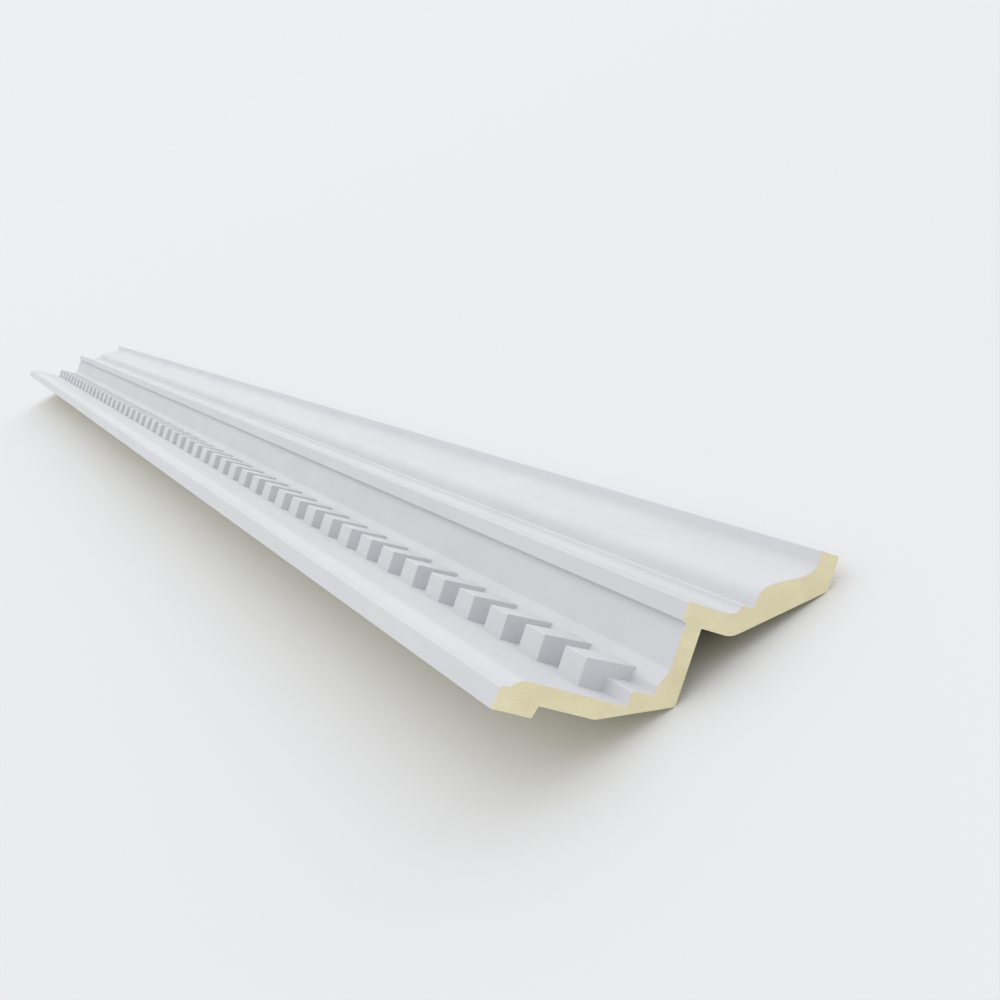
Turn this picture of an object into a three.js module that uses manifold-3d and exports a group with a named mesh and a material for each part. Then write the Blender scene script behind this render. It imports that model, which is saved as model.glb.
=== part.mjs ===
// Cornice moulding length with a row of dentils, cast in one piece of rigid foam.
// Units are millimetres, +Z is up and the length runs along X.
// The section is drawn as it is fixed in a room: "height" runs up the wall from the
// bottom edge, and "out" runs from the wall into the room. The whole length is then
// turned about X and lies with its hollow back down, on two long edges of that back:
// the lower edge of the crown, and the edge where the leg's back turns into the slope.
// The origin is on the floor, under the middle of the length.

import * as THREE from "three";
import { mergeVertices } from "three/addons/utils/BufferGeometryUtils.js";
import Module from "manifold-3d";

// Overall sizes of the moulding as it is fixed
const LENGTH = 2000;
const HEIGHT = 140; // wall bottom edge to ceiling
const PROJECTION = 100; // wall to the front of the top edge

// Bottom lip
const LIP_OUT = 9.4; // how far the bottom edge face stands out from the wall
const LIP_DRAFT = 1; // the edge face leans back this much over its width
const LIP_FLAT = 4.6; // flat of the lip, up the wall
const LIP_RISE = 0.9; // the flat climbs this much
const OVOLO_HEIGHT = 7.4; // curve between the lip and the field, up the wall
const OVOLO_SWELL = 3; // the curve's handle, up the wall from the lip

// Plain field that carries the dentils
const FIELD_OUT = 14; // wall to the field's surface
const FIELD_TOP = 59.8; // height at which the field ends

// Fillet behind the dentils, and the splay that leads up to the soffit
const FILLET_OUT = 20.6;
const FILLET_HEIGHT = 11;
const FILLET_RISE = 0.8;
const SPLAY_FOOT = 3.6; // upright foot of the splay, measured out
const SPLAY_OUT = 32.9; // where the splay meets the soffit
const SPLAY_HEIGHT = 3.6; // from the fillet to the soffit, up the wall

// Drip groove, nose and face of the corona
const GROOVE_WIDTH = 3.6;
const GROOVE_DEPTH = 0.6;
const NOSE_WIDTH = 8.6; // underside of the nose, measured out
const NOSE_DROP = 2.2; // the nose hangs this far below the soffit
const NOSE_EASE = 1; // rounded arris of the nose
const CORONA_OUT = 62.3; // wall to the face of the corona
const CORONA_FACE = 18.8; // its face, up the wall from the nose

// Crown: cavetto, small fillet, cyma and top edge
const CAVETTO_HEIGHT = 7.8;
const CAVETTO_OUT = 4.4;
const CROWN_FILLET_HEIGHT = 6;
const CROWN_FILLET_STEP = 0.9; // little upright between the cavetto and the fillet
const CYMA_FOOT = 3.4; // upright foot of the cyma, measured out
const CYMA_SWELL = 13; // handle of the swelling lower part
const CYMA_HOLLOW = 12; // handle of the hollow upper part
const TOP_EDGE = 10; // face of the top edge, up the wall
const TOP_EDGE_OUT = 5; // its underside, measured out

// Back
const SEAT_HEIGHT = 18.9; // strip that touches the wall
const RELIEF = 5.4; // glue relief above that strip
const RELIEF_DRAFT = 1.4;
const SLOPE_START = 47.1; // height at which the sloping back face leaves the wall
const SLOPE_ANGLE = 20.3; // degrees from the wall
const LEG_THICKNESS = 8.4; // foam behind the soffit
const CORONA_THICKNESS = 9.3; // foam behind the corona's face
const CROWN_SEAT = 16; // strip that touches the ceiling
const CORONA_BACK = 15.9; // flat back of the corona, up the wall from the leg to the bend
const BACK_BEND = 4; // rounded bend up to the crown's sloping back, along each side

// Dentils
const DENTIL_WIDTH = 19.6;
const DENTIL_GAP = 19.6;
const DENTIL_BOTTOM = 47.2; // height of their lower face
const DENTIL_OUT = 26.6; // wall to their face at the lower end
const DENTIL_LEAN = 3.5; // degrees, the face leans out towards the soffit
const ROOT = 2; // how far a dentil is rooted in the moulding

const CURVE_STEPS = 10;
const WELD = 1e-4; // points closer than this are one

const rad = THREE.MathUtils.degToRad;

// Heights and distances that follow from the sizes
const filletTop = FIELD_TOP + FILLET_HEIGHT;
const filletTopOut = FILLET_OUT + FILLET_RISE;
const soffit = filletTop + SPLAY_HEIGHT;
const nose = soffit - NOSE_DROP;
const noseIn = CORONA_OUT - NOSE_WIDTH;
const coronaTop = nose + CORONA_FACE;
const cavettoTop = coronaTop + CAVETTO_HEIGHT;
const cavettoOut = CORONA_OUT + CAVETTO_OUT;
const crownFilletOut = cavettoOut + CROWN_FILLET_STEP;
const cymaFoot = cavettoTop + CROWN_FILLET_HEIGHT;
const cymaFootOut = crownFilletOut + CYMA_FOOT;
const topEdge = HEIGHT - TOP_EDGE;
const topEdgeIn = PROJECTION - TOP_EDGE_OUT;
const legBack = soffit + LEG_THICKNESS;
const coronaBackOut = CORONA_OUT - CORONA_THICKNESS;
const slopeEndOut = RELIEF + (legBack - SLOPE_START) * Math.tan(rad(SLOPE_ANGLE));
const crownBackOut = PROJECTION - CROWN_SEAT;
const crownBend = legBack + CORONA_BACK;
const crownSlope = Math.atan2(crownBackOut - coronaBackOut, HEIGHT - crownBend);

// The front of the section, from the wall's bottom edge to the ceiling.
// x is the height up the wall, and y is the distance out from it.
function drawFront(s) {
  const lipTop = LIP_DRAFT + LIP_FLAT;
  s.moveTo(0, 0);
  s.lineTo(LIP_DRAFT, LIP_OUT);
  s.lineTo(lipTop, LIP_OUT + LIP_RISE);
  s.quadraticCurveTo(lipTop + OVOLO_SWELL, FIELD_OUT, lipTop + OVOLO_HEIGHT, FIELD_OUT);
  s.lineTo(FIELD_TOP, FIELD_OUT);
  s.lineTo(FIELD_TOP, FILLET_OUT);
  s.lineTo(filletTop, filletTopOut);
  s.lineTo(filletTop, filletTopOut + SPLAY_FOOT);
  s.lineTo(soffit, SPLAY_OUT);
  s.lineTo(soffit, noseIn - GROOVE_WIDTH);
  // A handle at twice the depth takes the curve to the groove's depth
  s.quadraticCurveTo(soffit + 2 * GROOVE_DEPTH, noseIn - GROOVE_WIDTH / 2, soffit, noseIn);
  s.lineTo(nose, noseIn);
  s.lineTo(nose, CORONA_OUT - NOSE_EASE);
  s.quadraticCurveTo(nose, CORONA_OUT, nose + NOSE_EASE, CORONA_OUT);
  s.lineTo(coronaTop, CORONA_OUT);
  s.quadraticCurveTo(cavettoTop, CORONA_OUT, cavettoTop, cavettoOut);
  s.lineTo(cavettoTop, crownFilletOut);
  s.lineTo(cymaFoot, crownFilletOut);
  s.lineTo(cymaFoot, cymaFootOut);
  s.bezierCurveTo(
    cymaFoot, cymaFootOut + CYMA_SWELL,
    topEdge, topEdgeIn - CYMA_HOLLOW,
    topEdge, topEdgeIn,
  );
  s.lineTo(topEdge, PROJECTION);
  s.lineTo(HEIGHT, PROJECTION);
}

// The back, from the ceiling down to the wall
function drawBack(s) {
  const bendOn = BACK_BEND * Math.cos(crownSlope);
  const bendOut = BACK_BEND * Math.sin(crownSlope);
  s.lineTo(HEIGHT, crownBackOut);
  s.lineTo(crownBend + bendOn, coronaBackOut + bendOut);
  s.quadraticCurveTo(crownBend, coronaBackOut, crownBend - BACK_BEND, coronaBackOut);
  s.lineTo(legBack, coronaBackOut);
  s.lineTo(legBack, slopeEndOut);
  s.lineTo(SLOPE_START, RELIEF);
  s.lineTo(SEAT_HEIGHT + RELIEF_DRAFT, RELIEF);
  s.lineTo(SEAT_HEIGHT, 0);
}

// Extrudes an outline of heights and distances out, and lays it along X from "start",
// with height along Y and distance out along Z.
function alongX(outline, start, depth) {
  const body = new THREE.ExtrudeGeometry(outline, {
    depth,
    steps: 1,
    bevelEnabled: false,
    curveSegments: CURVE_STEPS,
  });
  return body.translate(0, 0, start).applyMatrix4(new THREE.Matrix4().set(
    0, 0, 1, 0,
    1, 0, 0, 0,
    0, 1, 0, 0,
    0, 0, 0, 1,
  ));
}

function mouldingBody() {
  const section = new THREE.Shape();
  drawFront(section);
  drawBack(section);
  return alongX(section, -LENGTH / 2, LENGTH);
}

// One dentil stands on the field, and its face leans out until it meets the splay.
// Its root follows the step from the field to the fillet, so it stays inside the foam.
function dentil(start) {
  const reach = (soffit - DENTIL_BOTTOM) * Math.tan(rad(DENTIL_LEAN));
  const side = new THREE.Shape();
  side.moveTo(DENTIL_BOTTOM, FIELD_OUT - ROOT);
  side.lineTo(DENTIL_BOTTOM, DENTIL_OUT);
  side.lineTo(soffit, DENTIL_OUT + reach);
  side.lineTo(soffit, FILLET_OUT - ROOT);
  side.lineTo(FIELD_TOP, FIELD_OUT - ROOT);
  return alongX(side, start, DENTIL_WIDTH);
}

const wasm = await Module();
wasm.setup();

function solid(geometry) {
  geometry.deleteAttribute("normal");
  geometry.deleteAttribute("uv");
  const merged = mergeVertices(geometry, WELD);
  return new wasm.Manifold(new wasm.Mesh({
    numProp: 3,
    vertProperties: merged.attributes.position.array,
    triVerts: new Uint32Array(merged.index.array),
  }));
}

function geometryOf(manifold) {
  const mesh = manifold.getMesh();
  const geometry = new THREE.BufferGeometry();
  geometry.setAttribute("position", new THREE.BufferAttribute(mesh.vertProperties, 3));
  geometry.setIndex(new THREE.BufferAttribute(mesh.triVerts, 1));
  geometry.computeVertexNormals();
  return geometry;
}

// The row starts flush with a dentil at the -X end and closes with a gap at the +X end,
// so that the row runs on when two lengths are joined.
function cornice() {
  const pitch = DENTIL_WIDTH + DENTIL_GAP;
  let body = solid(mouldingBody());
  for (let i = 0; i < Math.floor(LENGTH / pitch); i += 1) {
    body = body.add(solid(dentil(i * pitch - LENGTH / 2)));
  }
  return geometryOf(body);
}

const primedFoam = new THREE.MeshStandardMaterial({
  color: new THREE.Color(0.86, 0.87, 0.88),
  roughness: 0.7,
  metalness: 0,
});

// The turn that brings both resting edges down to the same level
const lay = Math.atan2(crownBackOut - slopeEndOut, HEIGHT - legBack);

const length = new THREE.Mesh(cornice(), primedFoam);
length.name = "cornice_length";
length.rotation.x = -lay;

const part = new THREE.Group();
part.add(length);
part.updateMatrixWorld(true);
const box = new THREE.Box3().setFromObject(part, true);
length.position.y = -(box.min.y + box.max.y) / 2;
length.position.z = -box.min.z;

export default part;
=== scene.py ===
# %% [markdown]
# # A length of cornice moulding in cast foam
# A cornice covers the joint between a wall and a ceiling. This one is cast in rigid foam in
# one piece, primed white on its moulded faces, and sawn square at both ends. It has a crown
# on top, a plain face called the corona under it, and a row of small blocks, the dentils.
# The frame is the model of the part. Its box gives the length and the place on the
# floor, and the sizes of the section below are those that the model was built from.

# %% Load the frame
import math

import bmesh
import bpy
from mathutils import Matrix, Vector


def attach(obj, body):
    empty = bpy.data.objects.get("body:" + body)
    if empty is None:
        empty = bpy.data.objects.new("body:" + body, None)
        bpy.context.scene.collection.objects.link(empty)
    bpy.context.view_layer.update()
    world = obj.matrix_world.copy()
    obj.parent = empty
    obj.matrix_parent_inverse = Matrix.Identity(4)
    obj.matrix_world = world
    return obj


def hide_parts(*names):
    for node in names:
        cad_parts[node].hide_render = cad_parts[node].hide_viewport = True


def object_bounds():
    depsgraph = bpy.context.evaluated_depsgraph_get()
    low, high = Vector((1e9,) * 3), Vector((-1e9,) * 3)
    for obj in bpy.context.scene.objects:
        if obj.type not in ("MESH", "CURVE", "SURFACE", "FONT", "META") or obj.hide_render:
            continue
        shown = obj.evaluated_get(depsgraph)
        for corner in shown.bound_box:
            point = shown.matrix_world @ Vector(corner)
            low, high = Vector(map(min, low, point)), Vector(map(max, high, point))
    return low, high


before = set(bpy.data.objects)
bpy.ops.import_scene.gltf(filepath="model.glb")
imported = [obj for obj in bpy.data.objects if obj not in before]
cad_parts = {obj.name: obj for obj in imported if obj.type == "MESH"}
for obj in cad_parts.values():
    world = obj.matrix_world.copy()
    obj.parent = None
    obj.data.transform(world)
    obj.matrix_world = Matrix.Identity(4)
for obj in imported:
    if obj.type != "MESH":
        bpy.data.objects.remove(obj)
cad_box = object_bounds()
cad_low, cad_high = [Vector(corner) for corner in cad_box]
print("frame box in mm:", [round(1000 * side, 1) for side in cad_high - cad_low])

# %% [markdown]
# ## Sizes
# All sizes of the section are in millimetres, as on a maker's drawing, and one matrix turns
# them into metres at the end. "Height" runs up the wall from the bottom edge, and "out" runs
# from the wall into the room, so a point of the section is a pair (height, out). First come
# the sizes that a maker would measure, and then the levels that follow from them.

# %% Sizes of the section
MM = 0.001
LENGTH = (cad_high.x - cad_low.x) / MM
HEIGHT = 140
PROJECTION = 100

LIP_OUT = 9.4
LIP_DRAFT = 1
LIP_FLAT = 4.6
LIP_RISE = 0.9
OVOLO_HEIGHT = 7.4
OVOLO_SWELL = 3

FIELD_OUT = 14
FIELD_TOP = 59.8

FILLET_OUT = 20.6
FILLET_HEIGHT = 11
FILLET_RISE = 0.8
SPLAY_FOOT = 3.6
SPLAY_OUT = 32.9
SPLAY_HEIGHT = 3.6

GROOVE_WIDTH = 3.6
GROOVE_DEPTH = 0.6
NOSE_WIDTH = 8.6
NOSE_DROP = 2.2
CORONA_OUT = 62.3
CORONA_FACE = 18.8

CAVETTO_HEIGHT = 7.8
CAVETTO_REACH = 4.4
CROWN_FILLET_HEIGHT = 6
CROWN_FILLET_STEP = 0.9
CYMA_STEP = 3.4
CYMA_SWELL = 13
CYMA_HOLLOW = 12
TOP_EDGE_FACE = 10
TOP_EDGE_REACH = 5

SEAT_HEIGHT = 18.9
RELIEF = 5.4
RELIEF_DRAFT = 1.4
SLOPE_START = 47.1
SLOPE_ANGLE = math.radians(20.3)
LEG_THICKNESS = 8.4
CORONA_THICKNESS = 9.3
CORONA_BACK = 15.9
BACK_BEND = 4
CEILING_SEAT = 16

# %% Heights and distances that follow
FILLET_TOP = FIELD_TOP + FILLET_HEIGHT
FILLET_TOP_OUT = FILLET_OUT + FILLET_RISE
SPLAY_FOOT_OUT = FILLET_TOP_OUT + SPLAY_FOOT
SOFFIT = FILLET_TOP + SPLAY_HEIGHT
NOSE = SOFFIT - NOSE_DROP
NOSE_IN = CORONA_OUT - NOSE_WIDTH
CORONA_TOP = NOSE + CORONA_FACE
CAVETTO_TOP = CORONA_TOP + CAVETTO_HEIGHT
CAVETTO_OUT = CORONA_OUT + CAVETTO_REACH
CROWN_FILLET_OUT = CAVETTO_OUT + CROWN_FILLET_STEP
CYMA_FOOT = CAVETTO_TOP + CROWN_FILLET_HEIGHT
CYMA_FOOT_OUT = CROWN_FILLET_OUT + CYMA_STEP
TOP_EDGE = HEIGHT - TOP_EDGE_FACE
TOP_EDGE_IN = PROJECTION - TOP_EDGE_REACH

LEG_BACK = SOFFIT + LEG_THICKNESS
SLOPE_END_OUT = RELIEF + (LEG_BACK - SLOPE_START) * math.tan(SLOPE_ANGLE)
CORONA_BACK_OUT = CORONA_OUT - CORONA_THICKNESS
CROWN_SEAT_IN = PROJECTION - CEILING_SEAT
CROWN_BEND = LEG_BACK + CORONA_BACK
print("soffit at", round(SOFFIT, 1), "and foot of the crown's wave at", round(CYMA_FOOT, 1), "mm up")

# %% [markdown]
# ## The outline
# The section is one closed outline. Straight stretches need only their ends. A round stretch
# is a quadratic or cubic curve between two points, drawn in small steps, so that light rolls
# over it without facets. The helpers give the points of a curve after its start.

# %% Curves of the outline
BEND_STEPS = 12
WAVE_STEPS = 24


def shares(steps):
    """Even shares of the way along a curve, without its start."""
    return [i / steps for i in range(1, steps + 1)]


def bend(start, handle, end):
    """Points of a quadratic curve after its start."""
    a, b, c = Vector(start), Vector(handle), Vector(end)
    return [(1 - t) ** 2 * a + 2 * t * (1 - t) * b + t**2 * c for t in shares(BEND_STEPS)]


def wave(start, first, second, end):
    """Points of a cubic curve after its start."""
    a, b, c, d = Vector(start), Vector(first), Vector(second), Vector(end)
    return [
        (1 - t) ** 3 * a + 3 * t * (1 - t) ** 2 * b + 3 * t**2 * (1 - t) * c + t**3 * d
        for t in shares(WAVE_STEPS)
    ]


# %% Dentil sizes
# The face of a dentil leans out until it meets the splay, and the crossing of the two lines
# is one more point of the outline.
DENTIL_WIDTH = 19.6
DENTIL_GAP = 19.6
DENTIL_BOTTOM = 47.2
DENTIL_OUT = 26.6
DENTIL_LEAN = math.tan(math.radians(3.5))
PITCH = DENTIL_WIDTH + DENTIL_GAP

splay_slope = (SPLAY_OUT - SPLAY_FOOT_OUT) / (SOFFIT - FILLET_TOP)
meet_rise = (DENTIL_OUT + (FILLET_TOP - DENTIL_BOTTOM) * DENTIL_LEAN - SPLAY_FOOT_OUT) / (
    splay_slope - DENTIL_LEAN
)
DENTIL_TOP = FILLET_TOP + meet_rise
DENTIL_TOP_OUT = SPLAY_FOOT_OUT + meet_rise * splay_slope
print("a dentil meets the splay at", round(DENTIL_TOP, 2), round(DENTIL_TOP_OUT, 2))

# %% Front and back of the outline
LIP_TOP = (LIP_DRAFT + LIP_FLAT, LIP_OUT + LIP_RISE)
OVOLO_TOP = (LIP_DRAFT + LIP_FLAT + OVOLO_HEIGHT, FIELD_OUT)
GROOVE_IN = (SOFFIT, NOSE_IN - GROOVE_WIDTH)
GROOVE_HANDLE = (SOFFIT + 2 * GROOVE_DEPTH, NOSE_IN - GROOVE_WIDTH / 2)

front = [Vector((LIP_DRAFT, LIP_OUT)), Vector(LIP_TOP)]
front += bend(LIP_TOP, (LIP_TOP[0] + OVOLO_SWELL, FIELD_OUT), OVOLO_TOP)
front += [Vector((DENTIL_BOTTOM, FIELD_OUT)), Vector((FIELD_TOP, FIELD_OUT))]
front += [Vector((FIELD_TOP, FILLET_OUT)), Vector((FILLET_TOP, FILLET_TOP_OUT))]
front += [Vector((FILLET_TOP, SPLAY_FOOT_OUT)), Vector((DENTIL_TOP, DENTIL_TOP_OUT))]
front += [Vector((SOFFIT, SPLAY_OUT)), Vector(GROOVE_IN)]
front += bend(GROOVE_IN, GROOVE_HANDLE, (SOFFIT, NOSE_IN))
front += [Vector((NOSE, NOSE_IN)), Vector((NOSE, CORONA_OUT)), Vector((CORONA_TOP, CORONA_OUT))]
front += bend((CORONA_TOP, CORONA_OUT), (CAVETTO_TOP, CORONA_OUT), (CAVETTO_TOP, CAVETTO_OUT))
front += [Vector((CAVETTO_TOP, CROWN_FILLET_OUT)), Vector((CYMA_FOOT, CROWN_FILLET_OUT))]
front += [Vector((CYMA_FOOT, CYMA_FOOT_OUT))]
front += wave(
    (CYMA_FOOT, CYMA_FOOT_OUT),
    (CYMA_FOOT, CYMA_FOOT_OUT + CYMA_SWELL),
    (TOP_EDGE, TOP_EDGE_IN - CYMA_HOLLOW),
    (TOP_EDGE, TOP_EDGE_IN),
)
front += [Vector((TOP_EDGE, PROJECTION)), Vector((HEIGHT, PROJECTION))]

bend_at = Vector((CROWN_BEND, CORONA_BACK_OUT))
bend_start = bend_at + (Vector((HEIGHT, CROWN_SEAT_IN)) - bend_at).normalized() * BACK_BEND
back = [Vector((HEIGHT, CROWN_SEAT_IN)), bend_start]
back += bend(bend_start, bend_at, bend_at - Vector((BACK_BEND, 0)))
back += [Vector((LEG_BACK, CORONA_BACK_OUT)), Vector((LEG_BACK, SLOPE_END_OUT))]
back += [Vector((SLOPE_START, RELIEF)), Vector((SEAT_HEIGHT + RELIEF_DRAFT, RELIEF))]
back += [Vector((SEAT_HEIGHT, 0)), Vector((0, 0))]
print("points of the outline:", len(front) + len(back))

# %% [markdown]
# ## Soft arrises
# A casting has no knife edges: the mould and the primer round each arris by half a
# millimetre or more. The outline becomes one flat face, and a vertex bevel rounds the chosen
# corners of it. That is quicker than bevelling a hundred long edges later.

# %% Round the corners of the outline
ARRIS = 0.7
INNER_CORNER = 0.45
BACK_ARRIS = 0.5
ARRIS_STEPS = 3
SAME_PLACE = 1e-4
OUTER_CORNERS = [
    (LIP_DRAFT, LIP_OUT),
    (FIELD_TOP, FILLET_OUT),
    (FILLET_TOP, SPLAY_FOOT_OUT),
    (SOFFIT, SPLAY_OUT),
    (NOSE, NOSE_IN),
    (NOSE, CORONA_OUT),
    (CAVETTO_TOP, CROWN_FILLET_OUT),
    (CYMA_FOOT, CYMA_FOOT_OUT),
    (TOP_EDGE, PROJECTION),
]
INNER_CORNERS = [
    LIP_TOP,
    (FIELD_TOP, FIELD_OUT),
    (FILLET_TOP, FILLET_TOP_OUT),
    (SOFFIT, NOSE_IN),
    (CYMA_FOOT, CROWN_FILLET_OUT),
]
BACK_CORNERS = [
    (HEIGHT, PROJECTION),
    (LEG_BACK, CORONA_BACK_OUT),
    (SLOPE_START, RELIEF),
    (SEAT_HEIGHT + RELIEF_DRAFT, RELIEF),
]


def ease_corners(bm, corners, radius):
    """Rounds the outline's corners at the given (height, out) places."""
    places = [Vector((0, *corner)) for corner in corners]
    chosen = [v for v in bm.verts if any((v.co - place).length < SAME_PLACE for place in places)]
    bmesh.ops.bevel(
        bm,
        geom=chosen,
        offset=radius,
        segments=ARRIS_STEPS,
        affect="VERTICES",
        profile=0.5,
        material=-1,
    )
    print("eased", len(chosen), "corners by", radius, "mm")


bm = bmesh.new()
outline = [bm.verts.new((0, point.x, point.y)) for point in front + back]
bm.faces.new(outline)
ease_corners(bm, OUTER_CORNERS, ARRIS)
ease_corners(bm, INNER_CORNERS, INNER_CORNER)
ease_corners(bm, BACK_CORNERS, BACK_ARRIS)
bmesh.ops.delete(bm, geom=list(bm.faces), context="FACES_ONLY")
print("points after easing:", len(bm.verts))

# %% [markdown]
# ## One bay of the row
# The length is one bay repeated: a stretch with a dentil and a stretch with a gap. The
# outline is drawn out to a dentil's width and once more to the pitch. A bay is a short open
# tube, so the copies weld into one skin with no walls inside.

# %% Draw the outline out to one bay


def draw_out(bm, edges, distance):
    """Extrudes a ring of edges along the length and returns the new ring."""
    made = bmesh.ops.extrude_edge_only(bm, edges=edges)["geom"]
    moved = [item for item in made if isinstance(item, bmesh.types.BMVert)]
    bmesh.ops.translate(bm, verts=moved, vec=(distance, 0, 0))
    return [item for item in made if isinstance(item, bmesh.types.BMEdge)]


side_of_dentil = draw_out(bm, list(bm.edges), DENTIL_WIDTH)
draw_out(bm, side_of_dentil, DENTIL_GAP)
print("faces in a plain bay:", len(bm.faces))

# %% [markdown]
# ## The dentil
# Each dentil is pulled out of the bay's own faces: the strip from its lower edge over the
# fillet to the splay is extruded as a region, and the new points are spread along the
# dentil's leaning face. So the block and the moulding are one skin, as in the casting. The
# strip is found by its place: in the dentil's height, and in front of the back's line.

# %% Pull the dentil out of the bay
TOUCH = 1e-3
FRONT_ONLY = FIELD_OUT - 0.5
DECIMALS = 4


def in_section(vert):
    """A point's (height, out), rounded so that the same place is the same pair."""
    return round(vert.co.y, DECIMALS), round(vert.co.z, DECIMALS)


strip = []
for face in bm.faces:
    x, height, out = face.calc_center_median()
    in_height = DENTIL_BOTTOM < height < DENTIL_TOP
    if x < DENTIL_WIDTH and in_height and FRONT_ONLY < out < DENTIL_TOP_OUT:
        strip.append(face)

# Along the strip neither height nor distance out shrinks, so their sum puts the places in
# order. Each is then given its way from the lower edge.
walk = sorted({in_section(vert) for face in strip for vert in face.verts}, key=sum)
travelled = {walk[0]: 0.0}
for before, after in zip(walk, walk[1:]):
    travelled[after] = travelled[before] + math.dist(before, after)
whole_walk = travelled[walk[-1]]

made = bmesh.ops.extrude_face_region(bm, geom=strip)["geom"]
raised = [item for item in made if isinstance(item, bmesh.types.BMVert)]
bmesh.ops.delete(bm, geom=[face for face in strip if face.is_valid], context="FACES")
for vert in raised:
    share = travelled[in_section(vert)] / whole_walk
    height = DENTIL_BOTTOM + share * (DENTIL_TOP - DENTIL_BOTTOM)
    vert.co.y = height
    vert.co.z = DENTIL_OUT + (height - DENTIL_BOTTOM) * DENTIL_LEAN
bmesh.ops.remove_doubles(bm, verts=list(bm.verts), dist=TOUCH)

print("faces in a bay with its dentil:", len(bm.faces))

# %% [markdown]
# ## The whole row
# The bay is copied along the length and welded where the copies meet. The row starts flush
# with a dentil at one end, and the last gap takes up what is left at the other end. Both
# ends are then closed by one flat face each, because the length is sawn off square.

# %% Copy the bay and weld the copies
bays = int(LENGTH // PITCH)
bay = list(bm.verts) + list(bm.edges) + list(bm.faces)
for i in range(1, bays):
    copied = bmesh.ops.duplicate(bm, geom=bay)["geom"]
    copied_verts = [item for item in copied if isinstance(item, bmesh.types.BMVert)]
    bmesh.ops.translate(bm, verts=copied_verts, vec=(i * PITCH, 0, 0))
bmesh.ops.remove_doubles(bm, verts=list(bm.verts), dist=TOUCH)

gap_end = [v for v in bm.verts if v.co.x > bays * PITCH - TOUCH]
bmesh.ops.translate(bm, verts=gap_end, vec=(LENGTH - bays * PITCH, 0, 0))
for end in (0, LENGTH):
    rim = [e for e in bm.edges if e.is_boundary and all(abs(v.co.x - end) < TOUCH for v in e.verts)]
    bmesh.ops.contextual_create(bm, geom=rim)
bmesh.ops.recalc_face_normals(bm, faces=list(bm.faces))
print("bays:", bays, "open edges left:", sum(e.is_boundary for e in bm.edges))

# %% [markdown]
# The strips that a dentil was pulled out of lie in one plane on its face and on each side.
# They are joined now and not in the single bay, because there the points on the open side
# would be lost, and the next copy would find nothing to weld to.

# %% Join the strips of each flat face
SAME_PLANE = 1 - 1e-6


def is_on_dentil(edge):
    """True where the middle of an edge lies on a dentil or along its root."""
    x, height, out = (edge.verts[0].co + edge.verts[1].co) / 2
    in_row = (x + TOUCH) % PITCH < DENTIL_WIDTH + 2 * TOUCH
    in_height = DENTIL_BOTTOM - TOUCH < height < DENTIL_TOP + TOUCH
    return in_row and in_height and FRONT_ONLY < out < DENTIL_TOP_OUT + TOUCH


def is_flat_seam(edge):
    """True for an edge of a dentil whose two faces lie in one plane."""
    one, other = edge.link_faces
    return one.normal.dot(other.normal) > SAME_PLANE and is_on_dentil(edge)


bm.normal_update()
seams = [edge for edge in bm.edges if is_flat_seam(edge)]
bmesh.ops.dissolve_edges(bm, edges=seams, use_verts=True, use_face_split=False)
print("seams joined:", len(seams), "open edges left:", sum(e.is_boundary for e in bm.edges))

# %% [markdown]
# A saw leaves a crisp edge, so the two sawn ends keep theirs. Their rims have very short
# edges too, and the bevel would be held to the shortest edge that it is given. Two layers
# are made first, to hold marks for the finishes, because a new layer drops the handles of
# faces and points that a script holds.

# %% Ease the arrises of the dentils
on_arris = bm.faces.layers.float.new("on_arris")
at_skin = bm.verts.layers.float.new("at_skin")
DENTIL_ARRIS = 0.5
SQUARE_ENOUGH = math.radians(60)


def is_dentil_arris(edge):
    """True where two faces of one dentil meet and stand proud, but not on a sawn end."""
    x = (edge.verts[0].co.x + edge.verts[1].co.x) / 2
    is_sawn = min(x, LENGTH - x) < TOUCH
    is_corner = edge.is_convex and edge.calc_face_angle() > SQUARE_ENOUGH
    return is_corner and is_on_dentil(edge) and not is_sawn


arrises = [edge for edge in bm.edges if is_dentil_arris(edge)]
print("arrises of dentils:", len(arrises))
rounded = bmesh.ops.bevel(
    bm,
    geom=arrises,
    offset=DENTIL_ARRIS,
    segments=ARRIS_STEPS,
    affect="EDGES",
    profile=0.5,
    material=-1,
    clamp_overlap=True,
)["faces"]

# %% [markdown]
# ## Marks for the finishes
# Paint wears first on the arrises, and foam is densest just under its skin. The materials
# have to know where that is. A number kept on each face says "this is an arris", and a
# number on each point of the sawn ends says "this is at the skin". To have points a little
# way in from the rim, each sawn face is inset by the thickness of the dense layer.

# %% Mark the arrises and the rim of the sawn ends
DENSE_LAYER = 0.4
NEAR_CORNER = 0.6 * ARRIS
MANY_CORNERS = 50
LOOKS_ALONG = 0.9

eased = [Vector(corner) for corner in OUTER_CORNERS + BACK_CORNERS]
for face in bm.faces:
    x, height, out = face.calc_center_median()
    nearest = min((Vector((height, out)) - corner).length for corner in eased)
    face[on_arris] = float(nearest < NEAR_CORNER)
for face in rounded:
    face[on_arris] = 1.0

sawn_faces = [f for f in bm.faces if len(f.verts) > MANY_CORNERS and abs(f.normal.x) > LOOKS_ALONG]
for face in sawn_faces:
    for vert in face.verts:
        vert[at_skin] = 1.0
rim = bmesh.ops.inset_region(
    bm, faces=sawn_faces, thickness=DENSE_LAYER, use_even_offset=True
)["faces"]
for face in sawn_faces:
    for vert in face.verts:
        vert[at_skin] = 0.0
print("sawn ends:", len(sawn_faces), "faces of the rim:", len(rim))
print("faces marked as arris:", sum(face[on_arris] > 0 for face in bm.faces))

# %% [markdown]
# ## Lay it down
# The section was drawn as it is fixed in a room. On the floor the length rests on two long
# edges of its hollow back, so it is turned about its long axis until both are level, and
# then set into the frame's box.

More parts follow.
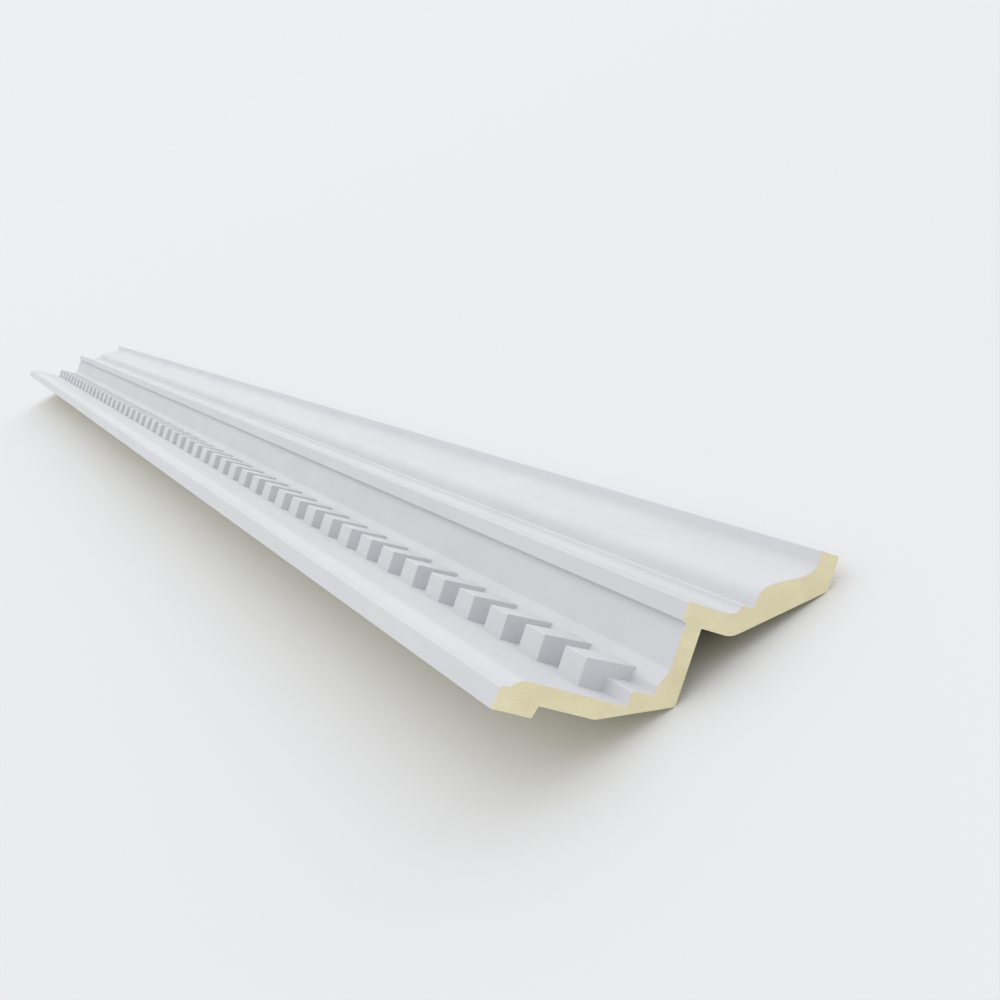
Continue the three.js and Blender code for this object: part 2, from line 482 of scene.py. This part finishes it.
# %% Turn the length and set it in the frame
LAY = math.atan2(CROWN_SEAT_IN - SLOPE_END_OUT, HEIGHT - LEG_BACK)
rest_height = (LEG_BACK * math.sin(LAY) - SLOPE_END_OUT * math.cos(LAY)) * MM
FROM_SECTION = (
    Matrix.Translation((cad_low.x, cad_low.y, rest_height))
    @ Matrix.Rotation(-LAY, 4, "X")
    @ Matrix.Scale(MM, 4)
)
bmesh.ops.transform(bm, matrix=FROM_SECTION, verts=list(bm.verts))
print("turned by", round(math.degrees(LAY), 2), "degrees")

# %% [markdown]
# The mesh is shaded smooth, and edges that turn by more than a soft arris does stay sharp.
# The Weighted Normal modifier lets large flat faces decide the shading, so the narrow
# rounded arrises catch the light and the flats beside them stay flat.

# %% Make the piece
SHARP = math.radians(28)
mesh = bpy.data.meshes.new("cornice_casting")
bm.to_mesh(mesh)
bm.free()
casting = bpy.data.objects.new("cornice_casting", mesh)
bpy.context.scene.collection.objects.link(casting)
mesh.shade_smooth()
mesh.set_sharp_from_angle(angle=SHARP)
even = casting.modifiers.new("flat_faces_first", "WEIGHTED_NORMAL")
even.keep_sharp = True
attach(casting, "root")
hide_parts("cornice_length")
print("triangles:", sum(len(p.vertices) - 2 for p in mesh.polygons))

# %% [markdown]
# ## Finishes
# The real length has three finishes. The moulded front is sprayed with a thin white primer.
# The back keeps the cream skin that foam forms against a mould. The sawn ends show the open
# cells of the foam and the marks of the saw. All three are made of nodes rather than
# pictures, so they have no seams and stay sharp in a close view.

# %% Small helpers for nodes


def new_material(name):
    """A material with nodes: the material, its shader, its nodes and its links."""
    material = bpy.data.materials.new(name)
    material.use_nodes = True
    tree = material.node_tree
    return material, tree.nodes["Principled BSDF"], tree.nodes, tree.links


def new_group(name, inputs, output):
    """A shader node group with numbers as inputs, by name and value, and one output."""
    group = bpy.data.node_groups.new(name, "ShaderNodeTree")
    for label, value in inputs.items():
        socket = group.interface.new_socket(name=label, in_out="INPUT", socket_type="NodeSocketFloat")
        socket.default_value = value
    group.interface.new_socket(name=output, in_out="OUTPUT", socket_type="NodeSocketFloat")
    nodes = group.nodes
    return group, nodes.new("NodeGroupInput"), nodes.new("NodeGroupOutput"), nodes, group.links


def use_group(nodes, group, **values):
    """Places a group in a material, sets its inputs and gives its output."""
    node = nodes.new("ShaderNodeGroup")
    node.node_tree = group
    for label, value in values.items():
        node.inputs[label].default_value = value
    return node.outputs[0]


def work_out(nodes, links, operation, *values):
    """A Math node: each value is a number or the output of another node."""
    node = nodes.new("ShaderNodeMath")
    node.operation = operation
    for socket, value in zip(node.inputs, values):
        if isinstance(value, bpy.types.NodeSocket):
            links.new(value, socket)
        else:
            socket.default_value = value
    return node.outputs[0]


# In a Mix node the sockets for colours come after those for numbers and vectors
COLOURS_IN = slice(6, 8)
COLOUR_OUT = 2


def mix_colours(nodes, links, share, one, other):
    """A Mix node: each colour is (r, g, b) or the output of another node."""
    node = nodes.new("ShaderNodeMix")
    node.data_type = "RGBA"
    links.new(share, node.inputs["Factor"])
    for socket, value in zip(node.inputs[COLOURS_IN], (one, other)):
        if isinstance(value, bpy.types.NodeSocket):
            links.new(value, socket)
        else:
            socket.default_value = (*value, 1)
    return node.outputs[COLOUR_OUT]


def fade(nodes, links, value, start, end):
    """A smooth step from 0 at one value to 1 at another."""
    node = nodes.new("ShaderNodeMapRange")
    node.interpolation_type = "SMOOTHSTEP"
    links.new(value, node.inputs["Value"])
    node.inputs["From Min"].default_value = start
    node.inputs["From Max"].default_value = end
    return node.outputs["Result"]


def section_place(nodes, links):
    """The point's (x, height, out) in millimetres, whichever way the length lies."""
    spot = nodes.new("ShaderNodeTexCoord")
    turned_back = nodes.new("ShaderNodeMapping")
    turned_back.vector_type = "TEXTURE"
    turned_back.inputs["Location"].default_value = FROM_SECTION.translation
    turned_back.inputs["Rotation"].default_value = (-LAY, 0, 0)
    turned_back.inputs["Scale"].default_value = (MM, MM, MM)
    links.new(spot.outputs["Object"], turned_back.inputs["Vector"])
    return turned_back.outputs["Vector"]


def set_bump(nodes, links, shader, height):
    """Bumps the surface by a height that is given in millimetres."""
    bump = nodes.new("ShaderNodeBump")
    bump.inputs["Distance"].default_value = MM
    links.new(height, bump.inputs["Height"])
    links.new(bump.outputs["Normal"], shader.inputs["Normal"])


# %% [markdown]
# Foam, skin and primer all vary softly. One group makes that: noise of a given size, which
# can be drawn out along the length or outwards across it. Each finish uses it several times
# with other numbers, for clouds in the colour, for fine grain, and for the marks of a saw.
# Noise seldom leaves the middle of its range, so that part is spread from 0 to 1.

# %% Group for soft grain
NOISE_LOW = 0.3
NOISE_HIGH = 0.7

soft_grain, given, result, nodes, links = new_group(
    "soft_grain", {"Size": 1.0, "Along": 1.0, "Across": 1.0, "Detail": 2.0}, "Value"
)
long_size = work_out(nodes, links, "MULTIPLY", given.outputs["Size"], given.outputs["Along"])
wide_size = work_out(nodes, links, "MULTIPLY", given.outputs["Size"], given.outputs["Across"])
stretch = nodes.new("ShaderNodeCombineXYZ")
links.new(long_size, stretch.inputs["X"])
links.new(given.outputs["Size"], stretch.inputs["Y"])
links.new(wide_size, stretch.inputs["Z"])
scaled = nodes.new("ShaderNodeVectorMath")
scaled.operation = "DIVIDE"
links.new(section_place(nodes, links), scaled.inputs[0])
links.new(stretch.outputs["Vector"], scaled.inputs[1])
noise = nodes.new("ShaderNodeTexNoise")
noise.inputs["Scale"].default_value = 1
links.new(scaled.outputs["Vector"], noise.inputs["Vector"])
links.new(given.outputs["Detail"], noise.inputs["Detail"])
links.new(fade(nodes, links, noise.outputs["Fac"], NOISE_LOW, NOISE_HIGH), result.inputs["Value"])
print("group:", soft_grain.name, "with", len(nodes), "nodes")

# %% [markdown]
# Foam is made of round cells. A Voronoi pattern has one point to a cell, and the distance
# from that point gives a round hollow. A random number for each cell decides which of them
# are open. Small ones crowd the sawn ends, and a few large ones are pinholes in the skin.
# The rim and the floor of a hollow are distances from its point, as shares of a cell.

# %% Group for open cells
CELL_RIM = 0.5
CELL_FLOOR = 0.15

open_cells, given, result, nodes, links = new_group(
    "open_cells", {"Size": 1.0, "Share": 0.5}, "Open"
)
scaled = nodes.new("ShaderNodeVectorMath")
scaled.operation = "DIVIDE"
links.new(section_place(nodes, links), scaled.inputs[0])
links.new(given.outputs["Size"], scaled.inputs[1])
voronoi = nodes.new("ShaderNodeTexVoronoi")
voronoi.inputs["Scale"].default_value = 1
links.new(scaled.outputs["Vector"], voronoi.inputs["Vector"])
draw = nodes.new("ShaderNodeSeparateColor")
links.new(voronoi.outputs["Color"], draw.inputs["Color"])
chosen = work_out(nodes, links, "LESS_THAN", draw.outputs["Red"], given.outputs["Share"])
hollow = fade(nodes, links, voronoi.outputs["Distance"], CELL_RIM, CELL_FLOOR)
links.new(work_out(nodes, links, "MULTIPLY", chosen, hollow), result.inputs["Open"])
print("group:", open_cells.name, "with", len(nodes), "nodes")

# %% [markdown]
# Wear follows the arrises, but not evenly: a length is knocked here and there as it is
# packed and carried. The group multiplies the mark that the faces carry by patches of noise.

# %% Group for edge wear
WEAR_DETAIL = 3

edge_wear, given, result, nodes, links = new_group("edge_wear", {"Patch": 8.0, "Spread": 0.5}, "Worn")
mark = nodes.new("ShaderNodeAttribute")
mark.attribute_name = "on_arris"
patches = nodes.new("ShaderNodeGroup")
patches.node_tree = soft_grain
links.new(given.outputs["Patch"], patches.inputs["Size"])
patches.inputs["Detail"].default_value = WEAR_DETAIL
start = work_out(nodes, links, "SUBTRACT", 1.0, given.outputs["Spread"])
worn = nodes.new("ShaderNodeMapRange")
worn.interpolation_type = "SMOOTHSTEP"
links.new(patches.outputs["Value"], worn.inputs["Value"])
links.new(start, worn.inputs["From Min"])
worn_here = work_out(nodes, links, "MULTIPLY", mark.outputs["Fac"], worn.outputs["Result"])
links.new(worn_here, result.inputs["Worn"])
print("group:", edge_wear.name, "with", len(nodes), "nodes")

# %% [markdown]
# ## White primer
# Primer is sprayed thin. It is matt, with a fine orange-peel texture, faint lines along the
# length where the mould was polished, and soft clouds where the coat is thicker. On worn
# arrises a little of the cream foam shows through. Heights of the bump are in millimetres.

# %% Primer
PRIMER_THIN = (0.605, 0.616, 0.636)
PRIMER_THICK = (0.628, 0.639, 0.660)
FOAM_THROUGH = (0.70, 0.69, 0.62)
WEAR_SHOWS = 0.2
WEAR_POLISH = -0.12
WEAR_DEPTH = -0.04
PRIMER_ROUGH = 0.5
PRIMER_ROUGHER = 0.14
PEEL_HEIGHT = 0.014
MOULD_LINE_HEIGHT = 0.006

white_primer, shader, nodes, links = new_material("white_primer")
clouds = use_group(nodes, soft_grain, Size=34, Along=3, Detail=4)
coat = mix_colours(nodes, links, clouds, PRIMER_THIN, PRIMER_THICK)
worn = use_group(nodes, edge_wear, Patch=9, Spread=0.3)
see_through = work_out(nodes, links, "MULTIPLY", worn, WEAR_SHOWS)
links.new(mix_colours(nodes, links, see_through, coat, FOAM_THROUGH), shader.inputs["Base Color"])

sheen_patches = use_group(nodes, soft_grain, Size=12, Along=2, Detail=3)
dull = work_out(nodes, links, "MULTIPLY_ADD", sheen_patches, PRIMER_ROUGHER, PRIMER_ROUGH)
roughness = work_out(nodes, links, "MULTIPLY_ADD", worn, WEAR_POLISH, dull)
links.new(roughness, shader.inputs["Roughness"])

orange_peel = use_group(nodes, soft_grain, Size=0.9, Detail=2)
mould_lines = use_group(nodes, soft_grain, Size=1.3, Along=80, Detail=1)
coat_height = work_out(nodes, links, "MULTIPLY", orange_peel, PEEL_HEIGHT)
coat_height = work_out(nodes, links, "MULTIPLY_ADD", mould_lines, MOULD_LINE_HEIGHT, coat_height)
coat_height = work_out(nodes, links, "MULTIPLY_ADD", worn, WEAR_DEPTH, coat_height)
set_bump(nodes, links, shader, coat_height)
print("primer nodes:", len(nodes))

# %% [markdown]
# ## Sawn foam
# A fine-toothed saw leaves shallow, nearly straight marks, and opens the cells that it
# cuts. The foam is cream, paler in the dense layer next to the skin, and a little uneven.

# %% Sawn foam
FOAM_DEEP = (0.785, 0.714, 0.461)
FOAM_LIGHT = (0.845, 0.779, 0.52)
# CELL_SHADE is painted shade: the colour given to the hollows of open cells and pinholes.
CELL_SHADE = (0.60, 0.52, 0.30)
DENSE_FOAM = (0.87, 0.82, 0.64)
FINE_CELLS_COUNT = 0.5
CELLS_SHOW = 0.45
DENSE_SHOWS = 0.7
SAWN_ROUGH = 0.78
CELLS_ROUGHER = 0.1
SAW_MARK_HEIGHT = 0.05
FINE_CELL_DEPTH = -0.09
LARGE_CELL_DEPTH = -0.25

sawn_foam, shader, nodes, links = new_material("sawn_foam")
clouds = use_group(nodes, soft_grain, Size=13, Detail=4)
foam = mix_colours(nodes, links, clouds, FOAM_DEEP, FOAM_LIGHT)
fine_cells = use_group(nodes, open_cells, Size=0.5, Share=0.8)
large_cells = use_group(nodes, open_cells, Size=1.7, Share=0.06)
both = work_out(nodes, links, "MULTIPLY_ADD", fine_cells, FINE_CELLS_COUNT, large_cells)
shaded = work_out(nodes, links, "MULTIPLY", both, CELLS_SHOW)
# Painted shade: open cells are darkened towards CELL_SHADE, on top of the hollows that the bump gives
# them.
foam = mix_colours(nodes, links, shaded, foam, CELL_SHADE)
skin_mark = nodes.new("ShaderNodeAttribute")
skin_mark.attribute_name = "at_skin"
dense = work_out(nodes, links, "MULTIPLY", skin_mark.outputs["Fac"], DENSE_SHOWS)
links.new(mix_colours(nodes, links, dense, foam, DENSE_FOAM), shader.inputs["Base Color"])
roughness = work_out(nodes, links, "MULTIPLY_ADD", fine_cells, CELLS_ROUGHER, SAWN_ROUGH)
links.new(roughness, shader.inputs["Roughness"])

saw_marks = use_group(nodes, soft_grain, Size=1.1, Across=45, Detail=2)
cut_height = work_out(nodes, links, "MULTIPLY", saw_marks, SAW_MARK_HEIGHT)
cut_height = work_out(nodes, links, "MULTIPLY_ADD", fine_cells, FINE_CELL_DEPTH, cut_height)
cut_height = work_out(nodes, links, "MULTIPLY_ADD", large_cells, LARGE_CELL_DEPTH, cut_height)
set_bump(nodes, links, shader, cut_height)
print("sawn foam nodes:", len(nodes))

# %% [markdown]
# ## Skin of the back
# Against the mould the foam closes to a smooth, slightly glossy skin. It shows where the
# foam flowed, and a few pinholes. The spray of the front drifts a few millimetres over the
# two seats, so the primer fades out there with a ragged edge.

# %% Skin of the back
SKIN_DEEP = (0.74, 0.66, 0.42)
SKIN_LIGHT = (0.83, 0.755, 0.51)
OVERSPRAY = 3.2
FULL_SPRAY = 0.3 * OVERSPRAY
PINHOLES_SHOW = 0.6
RUB_SHOWS = 0.5
SKIN_ROUGH = 0.46
SKIN_ROUGHER = 0.16
RIPPLE_HEIGHT = 0.1
PINHOLE_DEPTH = -0.3

back_skin, shader, nodes, links = new_material("back_skin")
flow = use_group(nodes, soft_grain, Size=22, Along=2.5, Detail=5)
skin = mix_colours(nodes, links, flow, SKIN_DEEP, SKIN_LIGHT)
pinholes = use_group(nodes, open_cells, Size=2.6, Share=0.12)
holes_shown = work_out(nodes, links, "MULTIPLY", pinholes, PINHOLES_SHOW)
# Painted shade: pinholes are darkened towards CELL_SHADE, on top of the hollows that the bump gives
# them.
skin = mix_colours(nodes, links, holes_shown, skin, CELL_SHADE)
worn = use_group(nodes, edge_wear, Patch=6, Spread=0.5)
rubbed = work_out(nodes, links, "MULTIPLY", worn, RUB_SHOWS)
skin = mix_colours(nodes, links, rubbed, skin, DENSE_FOAM)

place = nodes.new("ShaderNodeSeparateXYZ")
links.new(section_place(nodes, links), place.inputs["Vector"])
ragged = use_group(nodes, soft_grain, Size=3, Along=2, Detail=4)
wander = work_out(nodes, links, "MULTIPLY_ADD", ragged, OVERSPRAY, -OVERSPRAY / 2)
from_top = work_out(nodes, links, "ADD", place.outputs["Z"], wander)
at_top = fade(nodes, links, from_top, PROJECTION - OVERSPRAY, PROJECTION - FULL_SPRAY)
from_foot = work_out(nodes, links, "ADD", place.outputs["Y"], wander)
at_foot = fade(nodes, links, from_foot, OVERSPRAY, FULL_SPRAY)
mist = work_out(nodes, links, "MAXIMUM", at_top, at_foot)
links.new(mix_colours(nodes, links, mist, skin, PRIMER_THIN), shader.inputs["Base Color"])

gloss_patches = use_group(nodes, soft_grain, Size=18, Detail=3)
roughness = work_out(nodes, links, "MULTIPLY_ADD", gloss_patches, SKIN_ROUGHER, SKIN_ROUGH)
links.new(roughness, shader.inputs["Roughness"])
ripple = use_group(nodes, soft_grain, Size=7, Along=2, Detail=3)
skin_height = work_out(nodes, links, "MULTIPLY", ripple, RIPPLE_HEIGHT)
skin_height = work_out(nodes, links, "MULTIPLY_ADD", pinholes, PINHOLE_DEPTH, skin_height)
set_bump(nodes, links, shader, skin_height)
print("skin nodes:", len(nodes))

# %% [markdown]
# ## Which face has which finish
# The outline of the back is known, so a face belongs to the back if its middle lies on that
# line. The sawn ends are the only faces at the very ends that look along the length. The
# middle of a face with many corners is only roughly known, so "at the end" is given some room.

# %% Give each face its finish
for material in (white_primer, sawn_foam, back_skin):
    mesh.materials.append(material)
PRIMED, SAWN, SKIN = range(3)
AT_END = 0.1
TO_SECTION = FROM_SECTION.inverted()
back_line = [front[-1]] + back


def is_behind(height, out):
    """True where a point of the section lies on the back or on the two seats."""
    point = Vector((height, out))
    for start, end in zip(back_line, back_line[1:]):
        share = min(max((point - start).dot(end - start) / (end - start).length_squared, 0), 1)
        if (point - start.lerp(end, share)).length < BACK_ARRIS:
            return True
    return False


for face in mesh.polygons:
    x, height, out = TO_SECTION @ face.center
    if abs(face.normal.x) > LOOKS_ALONG and min(x, LENGTH - x) < AT_END:
        face.material_index = SAWN
    elif is_behind(height, out):
        face.material_index = SKIN
counts = [sum(face.material_index == i for face in mesh.polygons) for i in (PRIMED, SAWN, SKIN)]
print("faces primed, sawn and left as skin:", counts)

# %% [markdown]
# ## Camera
# The long edges run to one vanishing point and the sawn end shows the true section, and both
# together give the lens and the place of the camera. The eye is a point of the section in
# millimetres, and the picture's right, up and back are directions in it. The turn that lays
# the length down is applied to all of them, so the length is seen from the measured side.

# %% Camera
FOCAL_SHARE = 1.29
SENSOR = 36
NEAREST_SEEN = 0.01
EYE = (LENGTH + 436.9, -239.9, 84.6)
RIGHT = Vector((0.41596, 0.85290, 0.31550))
UP = Vector((-0.15126, -0.27721, 0.94883))
BACK = Vector((0.89671, -0.44240, 0.01370))

camera_data = bpy.data.cameras.new("photo_view")
camera_data.sensor_width = SENSOR
camera_data.lens = SENSOR * FOCAL_SHARE
camera_data.clip_start = NEAREST_SEEN
camera = bpy.data.objects.new("photo_view", camera_data)
bpy.context.scene.collection.objects.link(camera)
bpy.context.scene.camera = camera
turn = FROM_SECTION.to_3x3() * (1 / MM)
axes = Matrix([turn @ RIGHT, turn @ UP, turn @ BACK]).transposed().to_4x4()
camera.matrix_world = Matrix.Translation(FROM_SECTION @ Vector(EYE)) @ axes
print("camera at", [round(v, 3) for v in camera.matrix_world.translation])

# %% [markdown]
# ## Floor
# A pale, matt, very large plane serves as the floor of a studio. Past its far edge the camera
# sees the world, which has the tone of the lit floor there, so no horizon shows. The light
# that the world sends is another, nearly white colour: the Light Path node tells what the
# camera sees from what lights the scene.

# %% Floor
FLOOR_SIZE = 400
FLOOR_COLOUR = (0.715, 0.724, 0.738, 1)
FLOOR_ROUGH = 0.9

bpy.ops.mesh.primitive_plane_add(size=FLOOR_SIZE, location=(0, 0, 0))
floor = bpy.context.object
floor.name = "studio_floor"
floor_paint, shader, nodes, links = new_material("floor_paint")
shader.inputs["Base Color"].default_value = FLOOR_COLOUR
shader.inputs["Roughness"].default_value = FLOOR_ROUGH
floor.data.materials.append(floor_paint)
print("floor of", FLOOR_SIZE, "m with", floor_paint.name)

# %% World
FLOOR_SEEN = (0.845, 0.859, 0.878, 1)
WORLD_COLOUR = (0.985, 0.99, 1, 1)
WORLD_LIGHT = 0.66

world = bpy.data.worlds.new("studio_light")
bpy.context.scene.world = world
world.use_nodes = True
nodes, links = world.node_tree.nodes, world.node_tree.links
lighting = nodes["Background"]
lighting.inputs["Color"].default_value = WORLD_COLOUR
lighting.inputs["Strength"].default_value = WORLD_LIGHT
seen = nodes.new("ShaderNodeBackground")
seen.inputs["Color"].default_value = FLOOR_SEEN
path = nodes.new("ShaderNodeLightPath")
mix = nodes.new("ShaderNodeMixShader")
links.new(path.outputs["Is Camera Ray"], mix.inputs[0])
links.new(lighting.outputs[0], mix.inputs[1])
links.new(seen.outputs[0], mix.inputs[2])
links.new(mix.outputs[0], nodes["World Output"].inputs["Surface"])
bpy.context.scene.view_settings.view_transform = "Standard"
print("world light:", WORLD_LIGHT)

# %% [markdown]
# ## Lights
# Large soft boxes light the length. A sun with a very wide disc gives the same soft shading
# all along two metres, which a lamp close by can't. The wide key light comes from over the
# wall edge and the far end, so the dentils' near sides lie in shade. A weak fill light from
# the near end lifts those sides and the sawn face.

# %% Lights


def add_sun(name, comes_from, strength, width):
    """A soft sun: a direction in the section, its strength, and its width in degrees."""
    data = bpy.data.lights.new(name, "SUN")
    data.energy = strength
    data.angle = math.radians(width)
    sun = bpy.data.objects.new(name, data)
    bpy.context.scene.collection.objects.link(sun)
    towards = (turn @ Vector(comes_from)).normalized()
    sun.matrix_world = towards.to_track_quat("Z", "Y").to_matrix().to_4x4()
    print(name, "light from", [round(v, 2) for v in towards])


add_sun("key", comes_from=(-0.45, -0.68, 1), strength=1.62, width=125)
add_sun("fill", comes_from=(1, -0.25, 0.35), strength=0.25, width=60)
